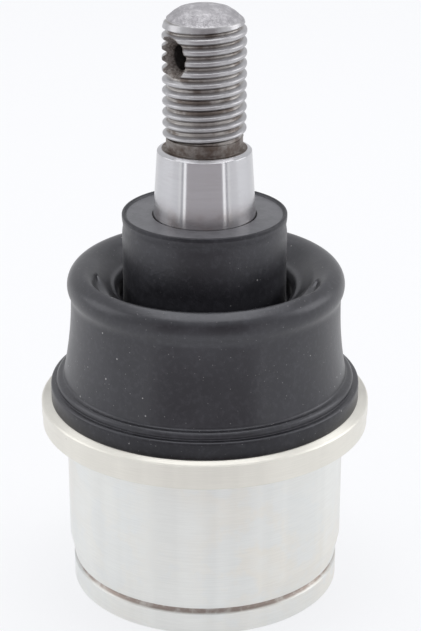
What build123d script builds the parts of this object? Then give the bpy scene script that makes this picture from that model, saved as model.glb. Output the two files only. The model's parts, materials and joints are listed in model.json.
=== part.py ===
from build123d import *
from math import asin, cos, degrees, radians, sin, sqrt
import os

# Press-in suspension ball joint, stud upwards. Millimetres, origin at the centre of the housing's
# bottom lip, +Z along the housing's axis. Sizes that end in above_ball count up from the ball's centre,
# and those that end in below_pole count down from the ball's top.

# housing, outside
body_diameter = 54.4
seat_height = 33.9  # underside of the flange
flange_diameter = 64.1
flange_thickness = 5.0
flange_land = 2.5  # full diameter, below it the flange is a touch smaller
flange_step = 0.15
flange_edge = 0.25
lip_relief = 0.7  # the lip is this much smaller in radius than the body
lip_height = 4.25
lip_edge = 0.3
lip_nose = 0.6
groove_width = 1.35  # round-bottomed groove for a wire snap ring
groove_depth = 1.0
lead_in_height = 4.4
lead_in_depth = 0.85
spigot_diameter = 52.0  # carries the boot's base ring and skirt
spigot_height = 6.3

# socket
ball_diameter = 34.0
ball_clearance = 0.05
bearing_wall = 2.95
running_clearance = 0.05
swing_angle = 20.0
throat_clearance = 0.3
mouth_clearance = 2.5
shoulder_below_pole = 9.0
throat_below_pole = 3.6
throat_land = 1.0

# bottom closure, from the lip upwards
lip_turn = 2.0  # thickness of the lip rolled over the cover
lip_overlap = 2.8
cover_ledge = 1.4  # the cover is this much larger in radius than the socket
cover_rim = 1.6
cover_spigot = 2.0
cover_dish_diameter = 17.0
cover_dish_depth = 0.9
seal_thickness = 0.7
spring_thickness = 1.2
spring_rise = 1.0
spring_clearance = 0.6
spring_bore = 18.0

# bearings
seat_floor = 2.1  # pressure seat under the ball, at the grease well's edge
well_diameter = 12.0
bearing_split = 0.9  # below the ball's centre
bearing_gap = 0.2
liner_top_below_pole = 6.0
liner_edge_below_pole = 8.2
liner_edge_flare = 0.4

# ball stud
ball_flat_depth = 1.4
neck_diameter = 17.0
neck_fillet = 3.0
neck_top_above_ball = 22.0
shank_diameter = 20.0
shank_start_above_ball = 30.5
taper_start_above_ball = 46.1
taper_length = 17.3
taper_rate = 8.0  # length per unit of diameter
taper_edge = 0.45
relief_depth = 1.15
relief_length = 2.9
thread_diameter = 15.7
thread_length = 21.1
tip_chamfer_height = 2.7
tip_chamfer_width = 3.25
tip_dome = 0.6
cotter_diameter = 4.8
cotter_mouth_diameter = 9.0  # countersink at the thread's crests
cotter_sink = 2.6
cotter_from_tip = 9.3
cotter_azimuth = 216.0  # direction of the hole, degrees from +X

# rubber boot
skirt_thickness = 4.1
skirt_gap = 0.05
rim_height = 3.6  # skirt's outer band, above the flange
rim_edge = 0.4
rim_width = 1.1
rim_groove_width = 0.45
rim_groove_depth = 0.45
foot_height = 4.9
foot_edge = 0.5
foot_fillet = 1.2
wall_thickness = 1.8
wall_stand = 1.4  # the wall's foot is this much outside the spigot
wall_spread = 1.4
waist_fillet = 3.6
bulge_radius = 3.66
bulge_above_flange = 23.53
bulge_turn = 25.0  # degrees that the bulge turns in below its widest line
funnel_angle = 45.0
fold_gap = 0.8  # round the collar
fold_lip_radius = 2.4
fold_floor_above_flange = 19.0
fold_floor_radius = 1.0
bead_width = 2.4
bead_height = 4.2
bead_clearance = 0.1

# steel rings in the boot
base_ring_thickness = 1.0
base_ring_height = 4.0
base_ring_lift = 0.35
neck_wire = 1.6
neck_ring_clearance = 0.05

# rubber collar on the stud
collar_diameter = 31.6
collar_waist_depth = 0.37
collar_top_step = 0.25
collar_height = 18.25
collar_waist_drop = 2.4
collar_waist_height = 3.1
collar_lift = 0.5  # above the fold's floor
collar_edge = 1.0
collar_mouth_gap = 0.3
collar_mouth_depth = 1.0
collar_clearance = 0.08

# heights and radii that follow from the sizes above
flange_top = seat_height + flange_thickness
spigot_top = flange_top + spigot_height
cover_base = lip_turn
cover_shoulder = cover_base + cover_rim + seal_thickness
cover_top = cover_base + cover_rim + cover_spigot
spring_top = cover_top + spring_thickness + spring_rise
ball_radius = ball_diameter / 2
ball_flat_drop = ball_radius - ball_flat_depth
cup_radius = ball_radius + ball_clearance
socket_radius = cup_radius + bearing_wall
cover_radius = socket_radius + cover_ledge
ball_height = spring_top + seat_floor + sqrt(cup_radius**2 - (well_diameter / 2) ** 2)
shoulder_above_ball = ball_radius - shoulder_below_pole
throat_above_ball = ball_radius - throat_below_pole
liner_top_above_ball = ball_radius - liner_top_below_pole
liner_edge_above_ball = ball_radius - liner_edge_below_pole
taper_start = ball_height + taper_start_above_ball
taper_end = taper_start + taper_length
taper_end_radius = (shank_diameter - taper_length / taper_rate) / 2
thread_start = taper_end + relief_length
thread_end = thread_start + thread_length
stud_tip = thread_end + tip_chamfer_height + tip_dome
fold_floor = flange_top + fold_floor_above_flange
collar_base = fold_floor + collar_lift
collar_top = collar_base + collar_height
cover_spigot_radius = socket_radius - running_clearance
fold_radius = collar_diameter / 2 + fold_gap
wall_foot_radius = spigot_diameter / 2 + wall_stand
bulge_turn_run = (bulge_radius + waist_fillet) * cos(radians(bulge_turn)) - waist_fillet
bulge_ring_radius = wall_foot_radius - wall_spread - bulge_turn_run
bulge_height = flange_top + bulge_above_flange
wall_foot_height = flange_top + foot_height + foot_fillet
fold_lip_height = (
    bulge_height
    + (
        bulge_radius
        - fold_lip_radius
        + (fold_radius + fold_lip_radius - bulge_ring_radius) * sin(radians(funnel_angle))
    )
    / cos(radians(funnel_angle))
)


def swept_radius(above_ball):
    """Radius that the tilted neck reaches at a height above the ball's centre."""
    tilt = radians(swing_angle)
    return (neck_diameter / 2 + above_ball * sin(tilt)) / cos(tilt)


throat_radius = swept_radius(throat_above_ball + throat_land) + throat_clearance
mouth_radius = swept_radius(spigot_top - ball_height) + mouth_clearance
shoulder_slope = (socket_radius - throat_radius) / (throat_above_ball - shoulder_above_ball)
liner_top_radius = socket_radius - (liner_top_above_ball - shoulder_above_ball) * shoulder_slope


def turned(*lines):
    """Solid of revolution about Z. The lines close an outline drawn with x as radius and y as height."""
    drawn = [Plane.XZ * edge for line in lines for edge in line.edges()]
    return revolve(make_face(drawn), Axis.Z)


def outline(*points):
    return Polyline(*points, close=True)


def arc(centre, radius, start, size):
    """Arc by centre, with angles in degrees from the outward radius, upwards positive."""
    return CenterArc((*centre, 0), radius, start, size)


def on_circle(centre, radius, angle):
    return (centre[0] + radius * cos(radians(angle)), centre[1] + radius * sin(radians(angle)))


def cup_reach(above_ball):
    """Radius of the bearings' spherical cup at a height above the ball's centre."""
    return sqrt(cup_radius**2 - above_ball**2)


def cup_arc(low, high):
    """Cup's outline between two heights above the ball's centre."""
    start = degrees(asin(low / cup_radius))
    return arc((0, ball_height), cup_radius, start, degrees(asin(high / cup_radius)) - start)


def housing():
    body = body_diameter / 2
    flange = flange_diameter / 2
    flange_low = flange - flange_step
    lip = body - lip_relief
    lip_mouth = cover_radius - lip_overlap
    throat = ball_height + throat_above_ball
    groove_round = groove_width / 2
    groove_centre = (lip - groove_depth + groove_round, lip_height + groove_round)
    groove_top = lip_height + groove_width
    lower = Polyline(
        (groove_centre[0], lip_height),
        (lip, lip_height),
        (lip, lip_edge),
        (lip - lip_edge, 0),
        (lip_mouth + lip_nose, 0),
        (lip_mouth, lip_nose),
        (lip_mouth, cover_base),
        (cover_radius, cover_base),
        (cover_radius, cover_shoulder),
        (socket_radius, cover_shoulder),
        (socket_radius, ball_height + shoulder_above_ball),
        (throat_radius, throat),
        (throat_radius, throat + throat_land),
        (mouth_radius, spigot_top),
    )
    upper = Polyline(
        (mouth_radius, spigot_top),
        (spigot_diameter / 2, spigot_top),
        (spigot_diameter / 2, flange_top),
        (flange - flange_edge, flange_top),
        (flange, flange_top - flange_edge),
        (flange, flange_top - flange_land),
        (flange_low, flange_top - flange_land),
        (flange_low, seat_height + flange_edge),
        (flange_low - flange_edge, seat_height),
        (body, seat_height),
        (body, groove_top + lead_in_height),
        (body - lead_in_depth, groove_top),
        (groove_centre[0], groove_top),
    )
    return turned(lower, upper, arc(groove_centre, groove_round, 90, 180))


def cover_plate():
    dish = cover_dish_diameter / 2
    return turned(
        outline(
            (0, cover_base + cover_dish_depth),
            (dish - cover_dish_depth, cover_base + cover_dish_depth),
            (dish, cover_base),
            (cover_radius, cover_base),
            (cover_radius, cover_base + cover_rim),
            (cover_spigot_radius, cover_base + cover_rim),
            (cover_spigot_radius, cover_top),
            (0, cover_top),
        )
    )


def cover_seal():
    return turned(
        outline(
            (cover_spigot_radius, cover_base + cover_rim),
            (cover_radius, cover_base + cover_rim),
            (cover_radius, cover_shoulder),
            (cover_spigot_radius, cover_shoulder),
        )
    )


def preload_spring():
    outside = socket_radius - spring_clearance
    return turned(
        outline(
            (outside, cover_top),
            (outside, cover_top + spring_thickness),
            (spring_bore / 2, spring_top),
            (spring_bore / 2, spring_top - spring_thickness),
        )
    )


def lower_bearing():
    outside = socket_radius - running_clearance
    well = well_diameter / 2
    floor = -sqrt(cup_radius**2 - well**2)
    sides = Polyline(
        (well, ball_height + floor),
        (well, spring_top),
        (outside, spring_top),
        (outside, ball_height - bearing_split),
        (cup_reach(bearing_split), ball_height - bearing_split),
    )
    return turned(sides, cup_arc(floor, -bearing_split))


def upper_bearing():
    low = bearing_gap - bearing_split
    edge = cup_reach(liner_edge_above_ball)
    sides = Polyline(
        (edge, ball_height + liner_edge_above_ball),
        (edge + liner_edge_flare, ball_height + liner_top_above_ball),
        (liner_top_radius, ball_height + liner_top_above_ball),
        (socket_radius, ball_height + shoulder_above_ball),
        (socket_radius, ball_height + low),
        (cup_reach(low), ball_height + low),
    )
    return turned(sides, cup_arc(low, liner_edge_above_ball))


def ball_stud():
    neck = neck_diameter / 2
    shank = shank_diameter / 2
    thread = thread_diameter / 2
    relief = thread - relief_depth
    tip = thread - tip_chamfer_width
    flat = sqrt(ball_radius**2 - ball_flat_drop**2)
    # the neck's fillet touches the ball and the neck
    fillet_radius = neck + neck_fillet
    fillet_rise = sqrt((ball_radius + neck_fillet) ** 2 - fillet_radius**2)
    fillet_centre = (fillet_radius, ball_height + fillet_rise)
    fillet_angle = degrees(asin(fillet_rise / (ball_radius + neck_fillet)))
    ball_start = -degrees(asin(ball_flat_drop / ball_radius))
    ball = arc((0, ball_height), ball_radius, ball_start, fillet_angle - ball_start)
    fillet_arc = arc(fillet_centre, neck_fillet, 180, fillet_angle)
    shaft = Polyline(
        (neck, ball_height + fillet_rise),
        (neck, ball_height + neck_top_above_ball),
        (shank, ball_height + shank_start_above_ball),
        (shank, taper_start),
        (taper_end_radius + taper_edge / taper_rate / 2, taper_end - taper_edge),
        (taper_end_radius - taper_edge, taper_end),
        (relief, taper_end),
        (relief, thread_start - thread + relief),
        (thread, thread_start),
        (thread, thread_end),
        (tip, thread_end + tip_chamfer_height),
    )
    dome_radius = (tip**2 + tip_dome**2) / 2 / tip_dome
    dome_angle = degrees(asin(tip / dome_radius))
    dome = arc((0, stud_tip - dome_radius), dome_radius, 90 - dome_angle, dome_angle)
    axis = Polyline((0, stud_tip), (0, ball_height - ball_flat_drop), (flat, ball_height - ball_flat_drop))
    return turned(ball, fillet_arc, shaft, dome, axis) - cotter_cut()


def cotter_cut():
    """Cross hole for the split pin, countersunk at both ends."""
    reach = thread_diameter / 2
    bore = cotter_diameter / 2
    flare = cotter_mouth_diameter - cotter_diameter
    cut = Cylinder(bore, 2 * thread_diameter)
    for end in (1, -1):
        cone = Cone(bore, bore + flare, 2 * cotter_sink)
        cut += Rot(0, 90 - 90 * end, 0) * Pos(0, 0, reach) * cone
    return Pos(0, 0, stud_tip - cotter_from_tip) * Rot(0, 0, cotter_azimuth) * Rot(0, 90, 0) * cut


def bellows(inset):
    """Edges of the boot's wall from the waist over the bulge to the fold's floor, moved into the rubber."""
    ring = (bulge_ring_radius, bulge_height)
    waist = on_circle(ring, bulge_radius + waist_fillet, -bulge_turn)
    normal = 90 + funnel_angle
    lip = (fold_radius + fold_lip_radius, fold_lip_height)
    floor = (fold_radius - fold_floor_radius, fold_floor + fold_floor_radius)
    return [
        arc(waist, waist_fillet + inset, 180 - bulge_turn, bulge_turn),
        arc(ring, bulge_radius - inset, -bulge_turn, normal + bulge_turn),
        Line(on_circle(ring, bulge_radius - inset, normal), on_circle(lip, fold_lip_radius - inset, normal)),
        arc(lip, fold_lip_radius - inset, normal, 90 - funnel_angle),
        Line((fold_radius + inset, lip[1]), (fold_radius + inset, floor[1])),
        arc(floor, fold_floor_radius + inset, 0, -90),
    ]


def wall(inset, foot):
    """Boot's wall, upright at the waist and spreading down to a height."""
    ring = (bulge_ring_radius, bulge_height)
    waist = on_circle(ring, bulge_radius + waist_fillet, -bulge_turn)
    drop = waist[1] - wall_foot_height
    radius = (wall_spread**2 + drop**2) / 2 / wall_spread
    centre = (waist[0] - waist_fillet + radius, waist[1])
    turn = degrees(asin((waist[1] - foot) / (radius + inset)))
    end = on_circle(centre, radius + inset, 180 + turn)
    return arc(centre, radius + inset, 180, turn), end


def dust_boot():
    spigot = spigot_diameter / 2
    skirt = spigot + skirt_thickness
    skirt_base = flange_top + skirt_gap
    rim_top = flange_top + rim_height
    foot = skirt - rim_width
    foot_top = flange_top + foot_height
    ring_top = flange_top + base_ring_lift + base_ring_height
    shoulder = spigot_top + skirt_gap
    floor_edge = fold_radius - fold_floor_radius
    bead = shank_diameter / 2 + bead_clearance
    outer_wall, outer_foot = wall(0, wall_foot_height)
    inner_wall, inner_foot = wall(wall_thickness, shoulder)
    skirt_side = Polyline(
        (outer_foot[0] + foot_fillet, foot_top),
        (foot - foot_edge, foot_top),
        (foot, foot_top - foot_edge),
        (foot, rim_top - rim_groove_depth),
        (foot + rim_groove_width, rim_top),
        (skirt - rim_edge, rim_top),
        (skirt, rim_top - rim_edge),
        (skirt, skirt_base),
        (spigot + base_ring_thickness, skirt_base),
        (spigot + base_ring_thickness, ring_top),
        (spigot, ring_top),
        (spigot, shoulder),
        inner_foot,
    )
    corner = (outer_foot[0] + foot_fillet, wall_foot_height)
    neck = Polyline(
        (floor_edge, fold_floor),
        (bead, fold_floor),
        (bead, fold_floor - bead_height),
        (bead + bead_width, fold_floor - bead_height),
        (bead + bead_width, fold_floor - wall_thickness),
        (floor_edge, fold_floor - wall_thickness),
    )
    return turned(
        arc(corner, foot_fillet, 180, 90),
        skirt_side,
        outer_wall,
        inner_wall,
        neck,
        *bellows(0),
        *bellows(wall_thickness),
    )


def boot_base_ring():
    base = flange_top + base_ring_lift
    inside = spigot_diameter / 2
    return turned(
        outline(
            (inside, base),
            (inside + base_ring_thickness, base),
            (inside + base_ring_thickness, base + base_ring_height),
            (inside, base + base_ring_height),
        )
    )


def neck_ring():
    bead = shank_diameter / 2 + bead_clearance + bead_width
    height = fold_floor - (wall_thickness + bead_height) / 2
    wire = neck_wire / 2
    return Pos(0, 0, height) * Torus(bead + neck_ring_clearance + wire, wire)


def boot_collar():
    bore = shank_diameter / 2 + collar_clearance
    side = collar_diameter / 2
    top = side - collar_top_step
    mouth_base = collar_top - collar_mouth_depth
    mouth_bore = bore - (mouth_base - taper_start) / taper_rate / 2
    waist = collar_top - collar_waist_drop
    corner = (top - collar_edge, collar_top - collar_edge)
    inside = Polyline(
        (corner[0], collar_top),
        (mouth_bore + collar_mouth_gap, collar_top),
        (mouth_bore + collar_mouth_gap, mouth_base),
        (mouth_bore, mouth_base),
        (bore, taper_start),
        (bore, collar_base),
        (side, collar_base),
        (side, waist - collar_waist_height / 2),
    )
    hollow = ThreePointArc(
        (side, waist - collar_waist_height / 2),
        (side - collar_waist_depth, waist),
        (top, corner[1]),
    )
    return turned(inside, hollow, arc(corner, collar_edge, 0, 90))


pieces = {
    "housing": housing,
    "cover_plate": cover_plate,
    "cover_seal": cover_seal,
    "preload_spring": preload_spring,
    "lower_bearing": lower_bearing,
    "upper_bearing": upper_bearing,
    "ball_stud": ball_stud,
    "dust_boot": dust_boot,
    "boot_base_ring": boot_base_ring,
    "neck_ring": neck_ring,
    "boot_collar": boot_collar,
}

os.makedirs("parts", exist_ok=True)
for name, make in pieces.items():
    solid = make()
    solid.label = name
    export_step(solid, f"parts/{name}.step")
    print(name, round(solid.volume, 1))
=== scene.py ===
# Press-in suspension ball joint standing on a pale studio floor.
import json
from math import asin, cos, degrees, pi, radians, sin, sqrt, tan
import bmesh
import bpy
import numpy as np
from mathutils import Matrix, Vector


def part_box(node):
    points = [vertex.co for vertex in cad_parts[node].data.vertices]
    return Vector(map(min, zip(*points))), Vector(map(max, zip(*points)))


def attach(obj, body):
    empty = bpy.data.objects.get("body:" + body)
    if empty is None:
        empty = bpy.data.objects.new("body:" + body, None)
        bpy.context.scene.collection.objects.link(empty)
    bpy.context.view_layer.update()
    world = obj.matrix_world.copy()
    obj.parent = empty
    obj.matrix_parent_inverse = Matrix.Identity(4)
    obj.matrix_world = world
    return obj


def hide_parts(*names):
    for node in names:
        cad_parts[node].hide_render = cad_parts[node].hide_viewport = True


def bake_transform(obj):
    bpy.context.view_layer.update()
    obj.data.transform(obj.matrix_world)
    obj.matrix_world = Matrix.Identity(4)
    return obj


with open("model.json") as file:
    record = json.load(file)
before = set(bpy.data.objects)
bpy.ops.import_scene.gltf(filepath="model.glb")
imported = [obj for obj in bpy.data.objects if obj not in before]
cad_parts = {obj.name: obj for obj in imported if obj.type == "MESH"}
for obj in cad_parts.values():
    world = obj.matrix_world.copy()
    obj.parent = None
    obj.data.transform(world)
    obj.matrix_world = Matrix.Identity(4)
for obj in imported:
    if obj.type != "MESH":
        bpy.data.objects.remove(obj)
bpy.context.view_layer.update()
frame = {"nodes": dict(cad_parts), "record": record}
mm = 0.001
mounts = {mount["name"]: mount for mount in frame["record"]["mounts"]}


def millimetres(metres):
    return metres / mm


# sizes in millimetres that the frame gives
wallRadius = mounts["press_body"]["dims"]["r_mm"]
threadRadius = mounts["stud_thread"]["dims"]["r_mm"]
threadLength = mounts["stud_thread"]["dims"]["length_mm"]
taperStart = millimetres(mounts["stud_taper"]["pos_m"][2])
grooveMiddle = millimetres(mounts["snap_ring_groove"]["pos_m"][2])
pinHole = mounts["split_pin_hole"]
pinBore = pinHole["dims"]["r_mm"]
pinFlatEnd = pinHole["dims"]["length_mm"] / 2  # where the countersinks start, from the axis

slack = 0.01  # rows closer than this count as one
tiny = 1e-6
flattest = 168  # corners flatter than this, in degrees, stay as they are
sideShare = 0.45  # most of a side that a fillet takes up


def onCircle(centre, radius, angle):
    # angle in degrees from the outward radius, upwards positive
    return (centre[0] + radius * cos(radians(angle)), centre[1] + radius * sin(radians(angle)))


def arcPoints(centre, radius, start, end, step=6):
    count = max(2, int(abs(end - start) / step) + 1)
    return [onCircle(centre, radius, angle) for angle in np.linspace(start, end, count + 1)]


def bent(start, corner, end, count=6):
    # curve from start to end that leans towards the corner
    start, corner, end = (np.array(p, float) for p in (start, corner, end))
    shares = np.linspace(0, 1, count)
    return [tuple((1 - t) ** 2 * start + 2 * t * (1 - t) * corner + t**2 * end) for t in shares]


def softened(points, fillet, closed=False):
    # rounds every corner of a run of points, by less where its sides are short
    points = [np.array(p, float) for p in points]
    count = len(points)
    made = []
    for i, corner in enumerate(points):
        if not closed and i in (0, count - 1):
            made.append(tuple(corner))
            continue
        before = points[i - 1] - corner
        after = points[(i + 1) % count] - corner
        lengths = np.linalg.norm(before), np.linalg.norm(after)
        if min(lengths) < tiny:
            continue
        before, after = before / lengths[0], after / lengths[1]
        turn = np.arccos(np.clip(before @ after, -1, 1))
        if turn > radians(flattest):
            made.append(tuple(corner))
            continue
        reach = min(fillet / tan(turn / 2), sideShare * min(lengths))
        made += bent(corner + before * reach, corner, corner + after * reach)
    return made


def filled(points, step):
    # splits long sides so that no row is wider than the step
    made = [points[0]]
    for start, end in zip(points, points[1:]):
        count = max(1, int(np.hypot(*np.subtract(end, start)) / step))
        made += [tuple(p) for p in np.linspace(start, end, count + 1)[1:]]
    return made


def latheMesh(name, rows, segments, closed, shape=None):
    # rows are (radius, height); shape changes the arrays of radii and heights by angle
    rows = np.array(rows, float)
    angle = np.arange(segments) * 2 * pi / segments
    angle = np.broadcast_to(angle, (len(rows), segments))
    radius = np.repeat(rows[:, :1], segments, axis=1)
    height = np.repeat(rows[:, 1:], segments, axis=1)
    if shape:
        radius, height = shape(radius, height, angle)
    places = np.stack([radius * np.cos(angle), radius * np.sin(angle), height], axis=-1)
    row = np.arange(len(rows) if closed else len(rows) - 1)[:, None] * segments
    above = (row + segments) % (len(rows) * segments)
    column = np.arange(segments)[None, :]
    following = (column + 1) % segments
    faces = np.stack([row + column, row + following, above + following, above + column], axis=-1)
    mesh = bpy.data.meshes.new(name)
    mesh.from_pydata((places.reshape(-1, 3) * mm).tolist(), [], faces.reshape(-1, 4).tolist())
    tidy = bmesh.new()
    tidy.from_mesh(mesh)
    bmesh.ops.remove_doubles(tidy, verts=tidy.verts, dist=tiny)
    bmesh.ops.dissolve_degenerate(tidy, edges=tidy.edges, dist=tiny)
    bmesh.ops.recalc_face_normals(tidy, faces=tidy.faces)
    tidy.to_mesh(mesh)
    tidy.free()
    piece = bpy.data.objects.new(name, mesh)
    bpy.context.scene.collection.objects.link(piece)
    return piece


def smoothShaded(piece, sharpAngle=38):
    piece.data.shade_smooth()
    piece.data.set_sharp_from_angle(angle=radians(sharpAngle))


def setSockets(tree, node, values):
    for key, value in values.items():
        if isinstance(value, bpy.types.NodeSocket):
            tree.links.new(value, node.inputs[key])
        else:
            node.inputs[key].default_value = value


def addNode(tree, kind, inputs=None, **settings):
    made = tree.nodes.new("ShaderNode" + kind)
    for name, value in settings.items():
        setattr(made, name, value)
    setSockets(tree, made, inputs or {})
    return made


def mathNode(tree, operation, *values):
    return addNode(tree, "Math", dict(enumerate(values)), operation=operation).outputs[0]


def times(tree, first, second):
    return mathNode(tree, "MULTIPLY", first, second)


def vectorNode(tree, operation, *values):
    made = addNode(tree, "VectorMath", dict(enumerate(values)), operation=operation)
    return made.outputs["Value" if operation in ("LENGTH", "DOT_PRODUCT") else "Vector"]


def scaled(tree, vector, factor):
    return addNode(tree, "VectorMath", {0: vector, "Scale": factor}, operation="SCALE").outputs[0]


def flattened(tree, vector):
    return vectorNode(tree, "MULTIPLY", vector, (1, 1, 0))


def upward(tree, vector):
    return addNode(tree, "SeparateXYZ", {0: vector}).outputs["Z"]


def spread(tree, value, low, high, outLow=0.0, outHigh=1.0):
    inputs = {"Value": value, "From Min": low, "From Max": high, "To Min": outLow, "To Max": outHigh}
    return addNode(tree, "MapRange", inputs, interpolation_type="SMOOTHSTEP").outputs[0]


def fading(tree, value, low, high):
    return spread(tree, value, low, high, 1.0, 0.0)


def between(tree, share, low, high):
    return spread(tree, share, 0.0, 1.0, low, high)


def blendColor(tree, amount, first, second):
    colors = [c if isinstance(c, bpy.types.NodeSocket) else (*c, 1) for c in (first, second)]
    return addNode(tree, "Mix", {0: amount, 6: colors[0], 7: colors[1]}, data_type="RGBA").outputs[2]


def newGroup(name, inputs, outputs):
    tree = bpy.data.node_groups.new(name, "ShaderNodeTree")
    for label, value in inputs.items():
        socket = tree.interface.new_socket(name=label, in_out="INPUT", socket_type="NodeSocketFloat")
        socket.default_value = value
    for label in outputs:
        kind = "NodeSocketVector" if label == "Normal" else "NodeSocketFloat"
        tree.interface.new_socket(name=label, in_out="OUTPUT", socket_type=kind)
    return tree, tree.nodes.new("NodeGroupInput"), tree.nodes.new("NodeGroupOutput")


def useGroup(tree, group, **values):
    inputs = {label.capitalize(): value for label, value in values.items()}
    return addNode(tree, "Group", inputs, node_tree=group)


def newMaterial(name):
    material = bpy.data.materials.new(name)
    material.use_nodes = True
    tree = material.node_tree
    tree.nodes.clear()
    surface = addNode(tree, "BsdfPrincipled")
    addNode(tree, "OutputMaterial", {0: surface.outputs[0]})
    return material, tree, surface


def objectMillimetres(tree):
    return scaled(tree, addNode(tree, "TexCoord").outputs["Object"], 1 / mm)


def spreadAcrossRings(tree, surface, amount):
    # reflections on turned metal spread across the lathe marks
    around = addNode(tree, "Tangent", direction_type="RADIAL", axis="Z").outputs[0]
    setSockets(tree, surface, {"Tangent": around, "Anisotropic": amount, "Anisotropic Rotation": 0.25})


streakContrast = (0.3, 0.7)


def byStreaks(tree, rings, low, high):
    # a value that follows the streaks along turned rings
    return spread(tree, rings.outputs["Streaks"], *streakContrast, low, high)


def makeTurnedRings():
    # lathe marks: rings that follow height on a wall and radius on a face
    tree, given, out = newGroup("turned rings", {"Spacing": 0.3, "Length": 12.0}, ["Rings", "Streaks"])
    place = objectMillimetres(tree)
    flat = flattened(tree, place)
    along = mathNode(tree, "ADD", upward(tree, place), vectorNode(tree, "LENGTH", flat))
    count = mathNode(tree, "DIVIDE", along, given.outputs["Spacing"])
    rings = addNode(tree, "TexNoise", {"W": count, "Scale": 1.0, "Detail": 3.0}, noise_dimensions="1D")
    around = scaled(tree, flat, mathNode(tree, "DIVIDE", 1.0, given.outputs["Length"]))
    step = addNode(tree, "CombineXYZ", {"Z": count})
    moved = vectorNode(tree, "ADD", around, step.outputs[0])
    streaks = addNode(tree, "TexNoise", {"Vector": moved, "Scale": 1.0, "Detail": 2.0})
    setSockets(tree, out, {"Rings": rings.outputs[0], "Streaks": streaks.outputs[0]})
    return tree


def makeSpecks():
    # a few small grains, each in its own cell
    tree, given, out = newGroup("specks", {"Cell": 3.0, "Size": 0.12, "Share": 0.4}, ["Mask"])
    density = mathNode(tree, "DIVIDE", 1.0, given.outputs["Cell"])
    inputs = {"Vector": objectMillimetres(tree), "Scale": density, "Randomness": 1.0}
    cells = addNode(tree, "TexVoronoi", inputs)
    distance = times(tree, cells.outputs["Distance"], given.outputs["Cell"])
    pick = addNode(tree, "SeparateColor", {0: cells.outputs["Color"]})
    size = times(tree, pick.outputs[0], given.outputs["Size"])
    kept = mathNode(tree, "LESS_THAN", pick.outputs[1], given.outputs["Share"])
    inside = mathNode(tree, "SUBTRACT", 1.0, mathNode(tree, "DIVIDE", distance, size))
    softEdge = 0.4
    setSockets(tree, out, {"Mask": times(tree, spread(tree, inside, 0.0, softEdge), kept)})
    return tree


def makeClouds():
    # soft uneven patches between 0 and 1
    tree, given, out = newGroup("clouds", {"Size": 8.0, "Low": 0.4, "High": 0.6}, ["Value"])
    scale = mathNode(tree, "DIVIDE", 1.0, given.outputs["Size"])
    place = objectMillimetres(tree)
    noise = addNode(tree, "TexNoise", {"Vector": place, "Scale": scale, "Detail": 4.0, "Roughness": 0.6})
    patches = spread(tree, noise.outputs[0], given.outputs["Low"], given.outputs["High"])
    setSockets(tree, out, {"Value": patches})
    return tree


def makeOutwardLean():
    # normal that leans away from the axis on faces that look up, like a worn edge
    tree, given, out = newGroup("outward lean", {"Share": 0.5, "Low": 0.85, "High": 0.98}, ["Normal"])
    normal = addNode(tree, "NewGeometry").outputs["Normal"]
    lookingUp = spread(tree, upward(tree, normal), given.outputs["Low"], given.outputs["High"])
    outward = vectorNode(tree, "NORMALIZE", flattened(tree, objectMillimetres(tree)))
    pushed = scaled(tree, outward, times(tree, lookingUp, given.outputs["Share"]))
    total = vectorNode(tree, "ADD", normal, pushed)
    setSockets(tree, out, {"Normal": vectorNode(tree, "NORMALIZE", total)})
    return tree


turnedRings = makeTurnedRings()
outwardLean = makeOutwardLean()
specks = makeSpecks()
clouds = makeClouds()


def patchy(tree, values, *names):
    # one mask of soft patches for each name
    return [useGroup(tree, clouds, **values[name]).outputs[0] for name in names]


def addBump(tree, surface, *layers):
    # layers are (height socket, depth in millimetres)
    total = None
    for height, depth in layers:
        part = times(tree, height, depth * mm)
        total = part if total is None else mathNode(tree, "ADD", total, part)
    bump = addNode(tree, "Bump", {"Height": total, "Strength": 1.0, "Distance": 1.0})
    setSockets(tree, surface, {"Normal": bump.outputs[0]})
    return bump


turnedSteel = {
    "color": (0.87, 0.878, 0.855),
    "warm": (0.87, 0.845, 0.785),
    "warmPatches": {"size": 22.0, "low": 0.42, "high": 0.66},
    "cool": (0.845, 0.87, 0.87),
    "coolPatches": {"size": 11.0, "low": 0.48, "high": 0.62},
    "coolShare": 0.7,
    "flange": (0.86, 0.84, 0.775),
    "flangeFade": (0.3, 1.2),  # distances out from the wall
    "bandScale": 0.22,
    "bandContrast": (0.35, 0.65),
    "bandShade": (0.978, 1.016),
    "rings": {"spacing": 0.32, "length": 14.0},
    "ringDepth": 0.0007,
    "fineRings": {"spacing": 0.11, "length": 5.0},
    "fineShade": (0.975, 1.02),
    "nick": (0.42, 0.41, 0.39),
    "nicks": {"cell": 6.5, "size": 0.26, "share": 0.2},
    "nickShare": 0.45,
    "nickDepth": 0.015,
    "metallic": 0.75,
    "roughness": (0.36, 0.42),
    "anisotropy": 0.3,
    "outward": 0.75,  # lean of the reflections on upward faces
}

# painted shade: the snap ring groove is painted dark brown in patches, for the shade that falls in it
grooveShade = {
    "color": (0.33, 0.25, 0.215),
    "heights": (0.5, 0.8),  # distances from the groove's middle over which it fades
    "depths": (-1.3, -0.75),  # distances out from the wall
    "patches": {"size": 2.5, "low": 0.3, "high": 0.6},
    "share": (0.45, 0.85),
}


def grooveShadeMask(tree, height, beyond):
    values = grooveShade
    away = mathNode(tree, "ABSOLUTE", mathNode(tree, "SUBTRACT", height, grooveMiddle))
    inside = times(tree, fading(tree, away, *values["heights"]), fading(tree, beyond, *values["depths"]))
    patches = patchy(tree, values, "patches")[0]
    return times(tree, inside, between(tree, patches, *values["share"]))


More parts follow.
